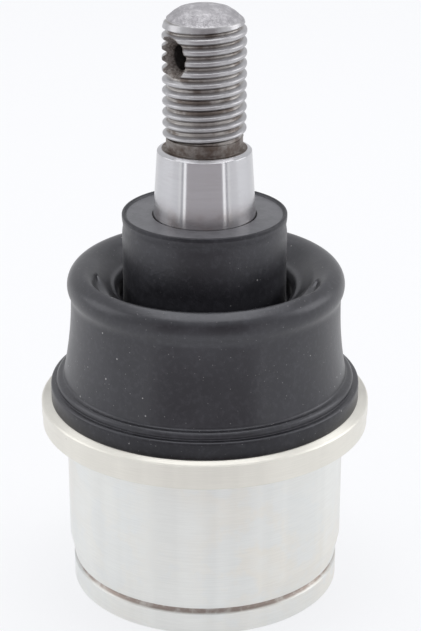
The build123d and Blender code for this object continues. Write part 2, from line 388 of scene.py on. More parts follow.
def makeTurnedSteel():
    values = turnedSteel
    material, tree, surface = newMaterial("turned steel")
    rings = useGroup(tree, turnedRings, **values["rings"])
    fine = useGroup(tree, turnedRings, **values["fineRings"])
    warm, cool = patchy(tree, values, "warmPatches", "coolPatches")
    nicks = useGroup(tree, specks, **values["nicks"]).outputs[0]
    color = blendColor(tree, warm, values["color"], values["warm"])
    color = blendColor(tree, times(tree, cool, values["coolShare"]), color, values["cool"])
    place = objectMillimetres(tree)
    flat = flattened(tree, place)
    beyond = mathNode(tree, "SUBTRACT", vectorNode(tree, "LENGTH", flat), wallRadius)
    color = blendColor(tree, spread(tree, beyond, *values["flangeFade"]), color, values["flange"])
    bands = addNode(tree, "TexNoise", {"Vector": flat, "Scale": values["bandScale"], "Detail": 3.0})
    bandShade = spread(tree, bands.outputs[0], *values["bandContrast"], *values["bandShade"])
    shade = times(tree, bandShade, byStreaks(tree, fine, *values["fineShade"]))
    color = scaled(tree, color, shade)
    color = blendColor(tree, times(tree, nicks, values["nickShare"]), color, values["nick"])
    # painted shade in the snap ring groove
    color = blendColor(tree, grooveShadeMask(tree, upward(tree, place), beyond), color, grooveShade["color"])
    rough = byStreaks(tree, rings, *values["roughness"])
    setSockets(tree, surface, {"Base Color": color, "Roughness": rough, "Metallic": values["metallic"]})
    spreadAcrossRings(tree, surface, values["anisotropy"])
    layers = [(rings.outputs["Rings"], values["ringDepth"]), (nicks, -values["nickDepth"])]
    bump = addBump(tree, surface, *layers)
    leant = useGroup(tree, outwardLean, share=values["outward"])
    setSockets(tree, bump, {"Normal": leant.outputs[0]})
    return material


groundSteel = {
    "color": (0.64, 0.64, 0.665),
    # painted reflection: the taper's lower part is painted brownish grey in patches, for the darker camera
    # side mirrored in it
    "stain": (0.50, 0.455, 0.45),
    "stainPatches": {"size": 3.0, "low": 0.35, "high": 0.75},
    "stainShare": (0.35, 1.0),
    "stainFade": (4.6, 9.0),  # heights above the taper's large end
    "stainLeft": 0.12,  # share that stays above that
    "rings": {"spacing": 0.09, "length": 6.0},
    "ringDepth": 0.0006,
    "shade": (0.95, 1.04),
    "roughness": (0.18, 0.23),
    "anisotropy": 1.0,
}


def makeGroundSteel():
    values = groundSteel
    material, tree, surface = newMaterial("ground steel")
    rings = useGroup(tree, turnedRings, **values["rings"])
    stain = patchy(tree, values, "stainPatches")[0]
    # painted reflection, strongest at the taper's large end and fading upwards
    height = mathNode(tree, "SUBTRACT", upward(tree, objectMillimetres(tree)), taperStart)
    foot = spread(tree, height, *values["stainFade"], 1.0, values["stainLeft"])
    share = times(tree, foot, between(tree, stain, *values["stainShare"]))
    clean = scaled(tree, values["color"], byStreaks(tree, rings, *values["shade"]))
    color = blendColor(tree, share, clean, values["stain"])
    rough = byStreaks(tree, rings, *values["roughness"])
    setSockets(tree, surface, {"Base Color": color, "Roughness": rough, "Metallic": 1.0})
    spreadAcrossRings(tree, surface, values["anisotropy"])
    addBump(tree, surface, (rings.outputs["Rings"], values["ringDepth"]))
    return material


threadSteel = {
    "crest": (0.53, 0.525, 0.54),
    # painted shade: the roots are painted darker than the crests, and dark brown deepest in, partly oil
    "root": (0.40, 0.38, 0.365),
    "rootFrom": 0.45,  # shares of the thread's depth
    "oil": (0.12, 0.09, 0.075),
    "oilFrom": 0.6,
    "oilPatches": {"size": 4.5, "low": 0.45, "high": 0.62},
    "oilShare": 0.8,
    "grimeHeights": (1.6, 3.2),  # above the taper's small end
    "grimeShare": (0.35, 0.85),
    "grimeDullness": 0.7,
    "tip": (0.42, 0.41, 0.43),
    "worn": (0.53, 0.52, 0.54),
    "wornPatches": {"size": 1.3, "low": 0.46, "high": 0.62},
    "hole": (0.36, 0.33, 0.31),
    "holeShare": 0.9,
    "holeOil": 0.7,
    # painted shade: the bore past the countersinks is painted near black
    "bore": (0.025, 0.022, 0.020),
    "boreFade": (-0.4, 0.1),  # distances out from the countersink's small end
    "patches": {"size": 1.6, "low": 0.35, "high": 0.7},
    "patchShade": (0.93, 1.05),
    "patchDepth": 0.006,
    "pits": {"size": 0.5, "low": 0.4, "high": 0.62},
    "pitDepth": 0.05,
    "pitShare": (0.1, 1.0),  # on the thread and on dull parts
    "grain": {"size": 0.5, "low": 0.2, "high": 0.8},
    "grainDepth": 0.003,
    "marks": {"spacing": 0.25, "length": 2.5},
    "markDepth": 0.006,
    "roughness": (0.30, 0.38),
    "dullRoughness": 0.55,
}


def makeThreadSteel():
    # threadDepth is 0 on the crests and 1 at the root; tipShare and holeShare mark the end and the cross hole
    values = threadSteel
    material, tree, surface = newMaterial("thread steel")
    names = ("threadDepth", "tipShare", "holeShare")
    depth, tip, hole = (addNode(tree, "Attribute", attribute_name=n).outputs["Fac"] for n in names)
    patches, grain, pits = patchy(tree, values, "patches", "grain", "pits")
    oil, worn = patchy(tree, values, "oilPatches", "wornPatches")
    marks = useGroup(tree, turnedRings, **values["marks"]).outputs["Rings"]
    # painted shade towards the roots of the thread, partly oil
    color = blendColor(tree, spread(tree, depth, values["rootFrom"], 1.0), values["crest"], values["root"])
    rootOilAndShade = times(tree, spread(tree, depth, values["oilFrom"], 1.0), oil)
    color = blendColor(tree, times(tree, rootOilAndShade, values["oilShare"]), color, values["oil"])
    place = objectMillimetres(tree)
    height = mathNode(tree, "SUBTRACT", upward(tree, place), taperStart + stud["taperLength"])
    shoulder = fading(tree, height, *values["grimeHeights"])
    grime = times(tree, shoulder, between(tree, patches, *values["grimeShare"]))
    color = blendColor(tree, grime, color, values["oil"])
    color = blendColor(tree, tip, color, blendColor(tree, worn, values["tip"], values["worn"]))
    drilled = blendColor(tree, times(tree, pits, values["holeOil"]), values["hole"], values["oil"])
    along = mathNode(tree, "ABSOLUTE", vectorNode(tree, "DOT_PRODUCT", place, pinHole["axis"]))
    # painted shade deep in the bore
    boreShade = fading(tree, mathNode(tree, "SUBTRACT", along, pinFlatEnd), *values["boreFade"])
    drilled = blendColor(tree, boreShade, drilled, values["bore"])
    color = blendColor(tree, times(tree, hole, values["holeShare"]), color, drilled)
    color = scaled(tree, color, between(tree, patches, *values["patchShade"]))
    grimy = times(tree, shoulder, values["grimeDullness"])
    dull = mathNode(tree, "MAXIMUM", mathNode(tree, "MAXIMUM", tip, hole), grimy)
    rough = between(tree, dull, between(tree, patches, *values["roughness"]), values["dullRoughness"])
    setSockets(tree, surface, {"Base Color": color, "Roughness": rough, "Metallic": 1.0})
    pitted = times(tree, pits, between(tree, dull, *values["pitShare"]))
    heights = {"grain": grain, "patch": patches, "mark": marks, "pit": pitted}
    addBump(tree, surface, *((height, values[name + "Depth"]) for name, height in heights.items()))
    return material


darkSteel = {
    "color": (0.16, 0.155, 0.15),
    "rust": (0.20, 0.13, 0.09),
    "patches": {"size": 3.0, "low": 0.5, "high": 0.75},
    "patchDepth": 0.01,
    "metallic": 0.9,
    "roughness": (0.35, 0.5),
}


def makeDarkSteel():
    values = darkSteel
    material, tree, surface = newMaterial("dark steel")
    patches = patchy(tree, values, "patches")[0]
    color = blendColor(tree, patches, values["color"], values["rust"])
    rough = between(tree, patches, *values["roughness"])
    setSockets(tree, surface, {"Base Color": color, "Roughness": rough, "Metallic": values["metallic"]})
    addBump(tree, surface, (patches, values["patchDepth"]))
    return material


bearingPlastic = {
    "color": (0.72, 0.70, 0.62),
    "shade": (0.60, 0.57, 0.48),
    "patches": {"size": 6.0, "low": 0.35, "high": 0.7},
    "grain": {"size": 0.5, "low": 0.3, "high": 0.7},
    "grainDepth": 0.01,
    "roughness": 0.45,
}


def makeBearingPlastic():
    values = bearingPlastic
    material, tree, surface = newMaterial("bearing plastic")
    patches, grain = patchy(tree, values, "patches", "grain")
    color = blendColor(tree, patches, values["color"], values["shade"])
    setSockets(tree, surface, {"Base Color": color, "Roughness": values["roughness"]})
    addBump(tree, surface, (grain, values["grainDepth"]))
    return material


rubber = {
    "color": (0.0080, 0.0078, 0.0105),
    "bloom": (0.038, 0.038, 0.045),
    "bloomPatches": {"size": 14.0, "low": 0.4, "high": 0.7},
    "scuffs": {"size": 1.0, "low": 0.46, "high": 0.7},
    "grain": {"size": 0.3, "low": 0.2, "high": 0.8},
    "dust": (0.52, 0.51, 0.51),
    "dustGrains": {"cell": 2.6, "size": 0.26},
    "lintGrains": {"cell": 0.8, "size": 0.13},
    "dustCover": 0.6,
    "lintCover": 0.5,  # beside that of dust
    # painted top light, partly settled dust: faces that look up are painted lighter
    "settled": (0.120, 0.120, 0.130),
    "settledFacing": (0.85, 0.99),
    "settledEdge": 0.2,
    "powder": {"size": 2.2, "low": 0.35, "high": 0.65},
    "powderShade": (0.8, 1.15),
    "bloomRoughness": 0.06,
    "specular": (0.86, 0.48),  # in general and on dull edges
    "dullBlur": (0.1, 0.15),  # of a dull edge's radius and heights
    "tint": (0.93, 0.935, 1.0),
    "sheen": 0.15,
    "sheenRoughness": 0.2,
}

flangeThickness = 5.0
flangeTop = millimetres(mounts["flange_seat"]["pos_m"][2]) + flangeThickness
collarTop = millimetres(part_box("boot_collar")[1].z)

# lighter dust and painted top light on upward faces reach out to a radius; a dull edge lies beyond a radius
# and between two heights
rubberFinishes = {
    "boot": {
        "roughness": 0.32,
        "bloomShare": 0.4,
        "grainDepth": 0.005,
        "dustShare": 0.75,
        "settledReach": 1.0,
        "dullRadius": 28.7,
        "dullHeights": (flangeTop, flangeTop + 3.3),
    },
    "collar": {
        "roughness": 0.38,
        "bloomShare": 0.5,
        "grainDepth": 0.012,
        "dustShare": 0.4,
        "settledReach": 14.9,
        "dullRadius": 15.1,
        "dullHeights": (collarTop - 0.75, collarTop + 1),
    },
}


def makeRubber(name):
    values = {**rubber, **rubberFinishes[name]}
    material, tree, surface = newMaterial(name + " rubber")
    bloom, scuff, grain, powder = patchy(tree, values, "bloomPatches", "scuffs", "grain", "powder")
    grainSizes = (values["dustGrains"], values["lintGrains"])
    dust, lint = (useGroup(tree, specks, share=values["dustShare"], **g).outputs[0] for g in grainSizes)
    hazy = times(tree, mathNode(tree, "ADD", bloom, scuff), values["bloomShare"])
    color = blendColor(tree, hazy, values["color"], values["bloom"])
    place = objectMillimetres(tree)
    height = upward(tree, place)
    radius = vectorNode(tree, "LENGTH", flattened(tree, place))
    facing = upward(tree, addNode(tree, "TexCoord").outputs["Normal"])
    # upward faces within a given radius are painted lighter: partly dust, partly painted top light
    reach = values["settledReach"]
    within = fading(tree, radius, reach - values["settledEdge"], reach)
    settled = times(tree, spread(tree, facing, *values["settledFacing"]), within)
    settled = times(tree, settled, between(tree, powder, *values["powderShade"]))
    color = blendColor(tree, settled, color, values["settled"])
    grains = mathNode(tree, "MAXIMUM", dust, times(tree, lint, values["lintCover"]))
    color = blendColor(tree, times(tree, grains, values["dustCover"]), color, values["dust"])
    rough = between(tree, bloom, values["roughness"], values["roughness"] + values["bloomRoughness"])
    edge = values["dullRadius"]
    sideBlur, blur = values["dullBlur"]
    above, past = (spread(tree, height, h - blur, h + blur) for h in values["dullHeights"])
    band = mathNode(tree, "SUBTRACT", above, past)
    dull = times(tree, band, spread(tree, radius, edge - sideBlur, edge + sideBlur))
    specular = between(tree, dull, *values["specular"])
    setSockets(tree, surface, {"Base Color": color, "Roughness": rough, "Specular IOR Level": specular})
    sheen = {"Sheen Weight": values["sheen"], "Sheen Roughness": values["sheenRoughness"]}
    setSockets(tree, surface, {"Specular Tint": (*values["tint"], 1), **sheen})
    addBump(tree, surface, (grain, values["grainDepth"]), (scuff, values["grainDepth"]))
    return material


turned = makeTurnedSteel()
dark = makeDarkSteel()
plastic = makeBearingPlastic()
bootRubber = makeRubber("boot")
collarRubber = makeRubber("collar")
print("materials made")


nodeMaterials = {
    "housing": turned,
    "cover_plate": turned,
    "cover_seal": collarRubber,
    "preload_spring": dark,
    "lower_bearing": plastic,
    "upper_bearing": plastic,
    "boot_base_ring": dark,
    "neck_ring": dark,
}

for nodeName, material in nodeMaterials.items():
    mesh = frame["nodes"][nodeName].data
    mesh.materials.clear()
    mesh.materials.append(material)
print("carried pieces dressed")


stud = {
    "ballRadius": 17.0,
    "ballFlatDrop": 15.6,
    "neckRadius": 8.5,
    "neckFillet": 3.0,
    "neckTop": 22.0,  # heights count from the ball's centre
    "shankRadius": 10.0,
    "shankStart": 30.5,
    "taperLength": 17.3,
    "taperRate": 8.0,
    "taperEdge": 0.45,
    "taperEdgeWidth": 0.9,
    "reliefLength": 2.9,
    "reliefRadius": 7.2,
    # radius and height over the thread's end
    "tipProfile": [(7.65, -0.7), (7.3, 0.35), (5.75, 1.7), (4.8, 2.3)],
    "tipTop": 3.1,
    "tipFillet": 0.5,
    "edgeFillet": 0.16,
    "threadPitch": 2.05,
    "threadDepth": 0.95,
    "tipStart": 0.7,  # where the tip begins to narrow, in pitches below the thread's end
    "crestAtFront": 113.15,
    "crestWidth": (0.17, 0.09),  # full share of the pitch beside a crest, at the tip and at the relief
    "flankWidth": 0.25,
    "flankFirmness": 9.0,
    "step": 0.6,
    "rowHeight": 0.09,
    "segments": 208,
    "holeMouth": 4.25,  # radius of the countersink at the thread's crests
    "holeRim": 0.25,
    "holeMark": 0.1,  # how far inside the bore its mark reaches
    "reliefMark": 0.3,  # height over the relief that is marked as deep
    "tipMark": 0.4,  # height over which the tip's mark fades in
    "seam": 0.02,  # the thread's steel starts this far below the taper's end
    "cutterReach": 14.0,
    "cutterSegments": 72,
}


def studRows():
    s = stud
    bottom = millimetres(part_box("ball_stud")[0].z)
    ball = bottom + s["ballFlatDrop"]
    flat = sqrt(s["ballRadius"] ** 2 - s["ballFlatDrop"] ** 2)
    filletRadius = s["neckRadius"] + s["neckFillet"]
    filletRise = sqrt((s["ballRadius"] + s["neckFillet"]) ** 2 - filletRadius**2)
    filletAngle = degrees(asin(filletRise / (s["ballRadius"] + s["neckFillet"])))
    ballStart = -degrees(asin(s["ballFlatDrop"] / s["ballRadius"]))
    taperEnd = taperStart + s["taperLength"]
    shank = s["shankRadius"]
    taperTop = shank - s["taperLength"] / s["taperRate"] / 2
    relief = s["reliefRadius"]
    threadStart = taperEnd + s["reliefLength"]
    start = threadStart - threadRadius + relief
    threadEnd = threadStart + threadLength
    lower = [(0, bottom), (flat, bottom)]
    lower += arcPoints((0, ball), s["ballRadius"], ballStart, filletAngle, 3)[1:]
    lower += arcPoints((filletRadius, ball + filletRise), s["neckFillet"], 180 + filletAngle, 180)[1:]
    upper = [
        (s["neckRadius"], ball + s["neckTop"]),
        (shank, ball + s["shankStart"]),
        (shank, taperStart),
        (taperTop, taperEnd - s["taperEdge"]),
        (taperTop - s["taperEdgeWidth"], taperEnd),
        (relief, taperEnd),
        (relief, start),
        (threadRadius, threadStart),
        (threadRadius, threadEnd - 2 * s["threadPitch"]),
    ]
    profile = [(radius, threadEnd + rise) for radius, rise in s["tipProfile"]]
    tipRadius, shoulder = profile[-1]
    tip = threadEnd + s["tipTop"]
    domeRadius = (tipRadius**2 + (tip - shoulder) ** 2) / 2 / (tip - shoulder)
    domeAngle = degrees(asin(tipRadius / domeRadius))
    dome = arcPoints((0, tip - domeRadius), domeRadius, 90 - domeAngle, 90, 3)
    end = [(threadRadius, threadEnd - s["tipStart"] * s["threadPitch"])] + profile + dome[1:2]
    path = lower + softened(upper, s["edgeFillet"])
    path = filled(path + softened(upper[-1:] + end, s["tipFillet"])[1:-1] + dome[1:], s["step"])
    finish = profile[2][1]
    heights = np.arange(start, finish, s["rowHeight"])
    below = [p for p in path if p[1] < start - slack or p[0] > shank]
    above = [p for p in path if p[1] > finish + slack]
    shaft = [p for p in path if p[1] > taperEnd - s["taperEdgeWidth"]]
    radii = np.interp(heights, [p[1] for p in shaft], [p[0] for p in shaft])
    rows = below + list(zip(radii, heights)) + above
    return rows, start, threadEnd


def softMax(first, second, firmness):
    # the larger value, with a rounded change from one to the other
    return np.logaddexp(firmness * first, firmness * second) / firmness


def threadShape(start):
    def shape(radius, height, angle):
        s = stud
        tipWidth, lowWidth = s["crestWidth"]
        width = lowWidth + (tipWidth - lowWidth) * np.clip((height - start) / threadLength, 0, 1)
        turns = (height - s["crestAtFront"]) / s["threadPitch"] - (angle + pi / 2) / (2 * pi)
        fromCrest = np.abs((turns + 0.5) % 1 - 0.5)
        flank = (fromCrest - width) / s["flankWidth"]
        cut = softMax(0, flank, s["flankFirmness"]) - softMax(0, flank - 1, s["flankFirmness"])
        groove = threadRadius - s["threadDepth"] * cut
        return np.where(height > start - slack, np.minimum(radius, groove), radius), height

    return shape


def holeRadius(away):
    # radius of the countersunk cross hole at a distance from the stud's axis
    slope = (stud["holeMouth"] - pinBore) / (threadRadius - pinFlatEnd)
    return pinBore + slope * np.maximum(np.abs(away) - pinFlatEnd, 0)


def cutHole(piece):
    # cross hole for the split pin, countersunk at both ends
    reach = stud["cutterReach"]
    half = [(pinBore, pinFlatEnd), (holeRadius(reach), reach), (0, reach)]
    rows = [(radius, -height) for radius, height in half[::-1]] + half
    cutter = latheMesh("hole_cutter", rows, stud["cutterSegments"], False)
    turn = Vector(pinHole["axis"]).to_track_quat("Z", "Y").to_matrix().to_4x4()
    cutter.data.transform(Matrix.Translation(Vector(pinHole["pos_m"])) @ turn)
    cut = piece.modifiers.new("hole", "BOOLEAN")
    cut.operation = "DIFFERENCE"
    cut.solver = "EXACT"
    cut.object = cutter
    depsgraph = bpy.context.evaluated_depsgraph_get()
    finished = bpy.data.meshes.new_from_object(piece.evaluated_get(depsgraph))
    piece.modifiers.clear()
    piece.data = finished
    bpy.data.objects.remove(cutter)


def markStud(mesh, start, threadEnd):
    # point values that the thread's material reads
    places = np.array([v.co for v in mesh.vertices]) / mm
    radii = np.hypot(places[:, 0], places[:, 1])
    depth = np.clip((threadRadius - radii) / stud["threadDepth"], 0, 1)
    depth = np.where(places[:, 2] < start + stud["reliefMark"], 1.0, depth)
    tip = np.clip((places[:, 2] - threadEnd - stud["tipProfile"][1][1]) / stud["tipMark"], 0, 1)
    axis = np.array(pinHole["axis"])
    away = places - np.array(pinHole["pos_m"]) / mm
    along = away @ axis
    fromAxis = np.linalg.norm(away - np.outer(along, axis), axis=1)
    inside = np.clip((holeRadius(along) - fromAxis) / stud["holeRim"] + 1, 0, 1)
    inside *= fromAxis > pinBore - stud["holeMark"]
    marks = {"threadDepth": depth * (1 - tip), "tipShare": tip * (1 - inside), "holeShare": inside}
    for name, values in marks.items():
        mesh.attributes.new(name, "FLOAT", "POINT").data.foreach_set("value", values.astype(np.float32))


def makeStud():
    rows, start, threadEnd = studRows()
    piece = latheMesh("threaded_stud", rows, stud["segments"], False, threadShape(start))
    cutHole(piece)
    mesh = piece.data
    markStud(mesh, start, threadEnd)
    mesh.materials.clear()
    mesh.materials.append(makeGroundSteel())
    mesh.materials.append(makeThreadSteel())
    threadFrom = taperStart + stud["taperLength"] - stud["seam"]
    for face in mesh.polygons:
        face.material_index = int(millimetres(face.center.z) > threadFrom)
    smoothShaded(piece)
    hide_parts("ball_stud")
    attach(piece, "stud")


makeStud()
print("ball stud made")


boot = {
    "skirtGap": 0.05,
    "rimHeight": 3.6,
    "rimEdge": 0.6,
    "rimWidth": 1.1,
    "footHeight": 4.95,
    "footEdge": 0.9,
    "footTurn": 78,
    "footSweep": 0.6,  # height of the curve from the wall to the foot's edge
    "wallThickness": 1.8,
    "wallFootHeight": 6.1,
    "wallSpread": 1.4,
    "waistFillet": 3.6,
    "bulgeRing": 23.02,
    "bulgeRadius": 3.66,
    "bulgeHeight": 23.53,  # heights count from the flange
    "bulgeTurn": 25.0,
    "funnelAngle": 45.0,
    "foldRadius": 16.6,
    "foldLip": 0.9,
    "throatBead": (17.45, 0.5, 0.5),  # radius, width and height of the roll round the fold's mouth
    "foldFloor": 19.0,
    "foldCorner": 1.0,
    "bead": 10.1,
    "beadWidth": 2.4,
    "beadHeight": 4.2,
    "spigotRadius": 26.0,
    "spigotHeight": 6.3,
    "ringThickness": 1.0,
    "ringTop": 4.35,
    "segments": 320,
    "step": 0.4,
    "neckEdge": 0.4,
    "liningEdge": 0.3,
    "ledgeEdge": 0.15,
    "beadEdge": 0.3,
    "beadSegments": 160,
    "lean": 0.25,  # how far the bulge sits to the right of the axis
    "leanFade": (-1.5, 3.0),  # distances out from the fold's radius
    "blendRise": 1.0,  # height over the fold's floor
}

# the bulge sags at the front: a flatter top and a lower fold, faded in over these angles
bootSag = {
    "rise": (175.0, 225.0),
    "fall": (315.0, 370.0),
    "ridge": (23.95, 3.35),  # radius, and height above the bulge's centre
    "outerSlope": 0.65,
    "innerSlope": 0.85,
    "capRise": 0.15,
    "firmness": (3.0, 8.0),  # of the ridge and of the change to the sagging skin
    "foldDrop": 1.5,
    "foldFrom": 21.5,
    # heights from the bulge's centre over which each part starts to move
    "overBulge": (-0.8, 1.2),
    "throatTop": -1.7,
    "mouth": (-3.4, -2.2),
}

# pinches in the rubber, each between two places given as radius and angle
bootDents = {
    "places": [((20.9, 188.0), (23.2, 227.0)), ((23.2, 314.0), (22.0, 344.0))],
    "width": 1.9,
    "narrowest": 0.05,
    "depth": 0.9,
    "ridge": 0.25,
    "ridgeOffset": 1.5,  # in widths
    "ridgeFirmness": 3.0,
}


def bellowsPoints(inset):
    b = boot
    ring = (b["bulgeRing"], flangeTop + b["bulgeHeight"])
    waist = onCircle(ring, b["bulgeRadius"] + b["waistFillet"], -b["bulgeTurn"])
    normal = 90 + b["funnelAngle"]
    slope = radians(b["funnelAngle"])
    run = b["foldRadius"] + b["foldLip"] - b["bulgeRing"]
    lipHeight = ring[1] + (b["bulgeRadius"] - b["foldLip"] + run * sin(slope)) / cos(slope)
    lip = (b["foldRadius"] + b["foldLip"], lipHeight)
    floor = (b["foldRadius"] - b["foldCorner"], flangeTop + b["foldFloor"] + b["foldCorner"])
    points = arcPoints(waist, b["waistFillet"] + inset, 180, 180 - b["bulgeTurn"])
    points += arcPoints(ring, b["bulgeRadius"] - inset, -b["bulgeTurn"], normal)[1:]
    points += arcPoints(lip, b["foldLip"] - inset, normal, 180)
    points += arcPoints(floor, b["foldCorner"] + inset, 0, -90, 15)
    return points, waist


def wallPoints(inset, foot, waist):
    b = boot
    drop = waist[1] - flangeTop - b["wallFootHeight"]
    radius = (b["wallSpread"] ** 2 + drop**2) / 2 / b["wallSpread"]
    centre = (waist[0] - b["waistFillet"] + radius, waist[1])
    turn = degrees(asin((waist[1] - foot) / (radius + inset)))
    return arcPoints(centre, radius + inset, 180 + turn, 180, 1.5)


def bootRows():
    b = boot
    skirt = millimetres(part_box("dust_boot")[1].x)
    foot = skirt - b["rimWidth"]
    outer, waist = bellowsPoints(0)
    inner = bellowsPoints(b["wallThickness"])[0]
    footTop = flangeTop + b["footHeight"]
    shoulder = flangeTop + b["spigotHeight"] + b["skirtGap"]
    outerWall = wallPoints(0, footTop + b["footSweep"], waist)
    innerWall = wallPoints(b["wallThickness"], shoulder, waist)
    floor = flangeTop + b["foldFloor"]
    beadEdge = b["bead"] + b["beadWidth"]
    neck = [(beadEdge, floor), (beadEdge, floor - b["wallThickness"])]
    rimTop = flangeTop + b["rimHeight"]
    lining = [
        (b["spigotRadius"], shoulder),
        (b["spigotRadius"], flangeTop + b["ringTop"]),
        (b["spigotRadius"] + b["ringThickness"], flangeTop + b["ringTop"]),
        (b["spigotRadius"] + b["ringThickness"], flangeTop + b["skirtGap"]),
        (skirt, flangeTop + b["skirtGap"]),
    ]
    edgeCentre = (foot - b["footEdge"], footTop - b["footEdge"])
    edge = arcPoints(edgeCentre, b["footEdge"], 0, b["footTurn"], 8)
    rim = [lining[-1], (skirt, rimTop), (foot, rimTop)]
    ledge = [rim[-2], rim[-1], edge[0]]
    sweep = bent(edge[-1], (outerWall[0][0], footTop), outerWall[0], 9)
    path = outerWall + outer[1:] + softened([outer[-1]] + neck + [inner[-1]], b["neckEdge"])[1:-1]
    path += inner[::-1] + innerWall[::-1][1:]
    path += softened([innerWall[0]] + lining + rim[1:2], b["liningEdge"])[1:-1]
    path += softened(rim, b["rimEdge"])[1:-1] + softened(ledge, b["ledgeEdge"])[1:-1]
    return filled(path + edge + sweep[1:-1], b["step"])


def smoothStep(value, low, high):
    t = np.clip((value - low) / (high - low), 0, 1)
    return t * t * (3 - 2 * t)


def bootShape(radius, height, angle):
    b = boot
    sag = bootSag
    ringHeight = flangeTop + b["bulgeHeight"]
    degree = np.degrees(angle)
    turned = np.where(degree < 90, degree + 360, degree)
    front = smoothStep(turned, *sag["rise"]) * (1 - smoothStep(turned, *sag["fall"]))
    # outer skin's height over the bulge's centre at each radius
    reach = np.clip(b["bulgeRadius"] ** 2 - (radius - b["bulgeRing"]) ** 2, 0, None)
    slopeStart = b["bulgeRing"] - b["bulgeRadius"] * sin(radians(b["funnelAngle"]))
    slopeRise = b["bulgeRadius"] * cos(radians(b["funnelAngle"])) + radius - slopeStart
    skin = np.where(radius > slopeStart, np.sqrt(reach), slopeRise)
    ridgeRadius, ridgeHeight = sag["ridge"]
    slopes = (sag["outerSlope"] * (radius - ridgeRadius), sag["innerSlope"] * (ridgeRadius - radius))
    cap = ridgeHeight - softMax(*slopes, sag["firmness"][0]) + sag["capRise"]
    drop = softMax(0, skin - cap, sag["firmness"][1])
    drop = drop * smoothStep(radius, b["foldRadius"], slopeStart)
    drop = drop + sag["foldDrop"] * (1 - smoothStep(radius, b["foldRadius"], sag["foldFrom"]))
    rise = height - ringHeight
    overBulge = smoothStep(rise, *sag["overBulge"])
    floorDepth = b["foldFloor"] - b["bulgeHeight"]
    inThroat = smoothStep(rise, floorDepth, sag["throatTop"]) * (radius < slopeStart)
    weight = np.maximum(overBulge, inThroat)
    beadRadius, beadWidth, beadHeight = b["throatBead"]
    bead = beadHeight * np.exp(-(((radius - beadRadius) / beadWidth) ** 2))
    bead = bead * smoothStep(rise, *sag["mouth"])
    lowered = height - drop * front * weight + bead
    dents = bootDents
    for (startRadius, startAngle), (endRadius, endAngle) in dents["places"]:
        t = (turned - startAngle) / (endAngle - startAngle)
        middle = startRadius + (endRadius - startRadius) * t
        lens = np.clip(1 - (2 * t - 1) ** 2, 0, 1)
        across = (radius - middle) / dents["width"] / np.maximum(lens, dents["narrowest"])
        valley = np.cos(pi / 2 * np.clip(across, -1, 1)) ** 2 * np.sqrt(lens)
        ridge = np.exp(-((across + dents["ridgeOffset"]) ** 2) * dents["ridgeFirmness"]) * lens
        lowered = lowered + (dents["ridge"] * ridge - dents["depth"] * valley) * overBulge
    return radius, lowered


def leanBoot(mesh):
    for vertex in mesh.vertices:
        place = vertex.co / mm
        share = smoothStep(place.z - flangeTop, boot["footHeight"], boot["bulgeHeight"])
        share *= smoothStep(np.hypot(place.x, place.y) - boot["foldRadius"], *boot["leanFade"])
        vertex.co.x += boot["lean"] * share * mm


def makeBead():
    # the boot's inner edge grips the stud, so it rides with the neck
    b = boot
    floor = flangeTop + b["foldFloor"]
    edge = b["bead"] + b["beadWidth"]
    bottom = floor - b["beadHeight"]
    rows = [(b["bead"], floor), (b["bead"], bottom), (edge, bottom), (edge, floor)]
    rows = softened(rows, b["beadEdge"], closed=True)
    piece = latheMesh("boot_bead", rows, b["beadSegments"], True)
    piece.data.materials.append(bootRubber)
    smoothShaded(piece)
    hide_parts("dust_boot")
    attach(piece, "boot_neck")


def makeBoot():
    piece = latheMesh("rubber_boot", bootRows(), boot["segments"], True, bootShape)
    leanBoot(piece.data)
    piece.data.materials.append(bootRubber)
    smoothShaded(piece)
    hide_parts("dust_boot")
    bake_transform(piece)


makeBoot()
makeBead()
print("dust boot made")


collar = {
    "bodyStep": 0.13,
    "waistDepth": 0.17,
    "topStep": 0.1,
    "waistDrop": 2.4,
    "waistHeight": 3.1,
    "edge": 0.35,
    "lipHeight": 0.45,
    "lipWidth": 0.4,
    "mouthGap": 0.03,
    "mouthDepth": 1.0,
    "bore": 10.08,
    "waistFoot": 0.3,  # straight part of the wall below the waist
    "lipLevel": 0.4,  # share of the lip's width that stays level
    "fillet": 0.2,
    "step": 0.5,
    "segments": 224,
}


def makeCollar():
    c = collar
    low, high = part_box("boot_collar")
    side, bottom, top = millimetres(high.x), millimetres(low.z), millimetres(high.z)
    crown = side - c["topStep"]
    wall = side - c["bodyStep"]
    waist = top - c["waistDrop"]
    throat = c["bore"] - (top - c["mouthDepth"] - taperStart) / stud["taperRate"] / 2
    mouth = throat + c["mouthGap"]
    outside = [(wall, waist - c["waistHeight"] / 2 - c["waistFoot"])]
    for t in np.linspace(0, 1, 9):
        dip = c["waistDepth"] * sin(pi * t) ** 2
        outside.append((wall + (crown - wall) * t - dip, waist + c["waistHeight"] * (t - 0.5)))
    lip = crown - c["edge"]
    edge = arcPoints((lip, top - c["edge"]), c["edge"], 0, 90, 10)
    face = top - c["lipHeight"]
    inside = [
        (lip - c["lipWidth"] * c["lipLevel"], top),
        (lip - c["lipWidth"], face),
        (mouth, face),
        (mouth, top - c["mouthDepth"]),
        (throat, top - c["mouthDepth"]),
        (c["bore"], taperStart),
        (c["bore"], bottom),
        (wall, bottom),
    ]
    path = [p for p in outside if p[1] < edge[0][1]] + edge[:-1]
    path += softened([edge[-1]] + inside + [outside[0]], c["fillet"])
    piece = latheMesh("rubber_collar", filled(path[:-1], c["step"]), c["segments"], True)
    piece.data.materials.append(collarRubber)
    smoothShaded(piece)
    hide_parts("boot_collar")
    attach(piece, "boot_neck")


makeCollar()
print("collar made")


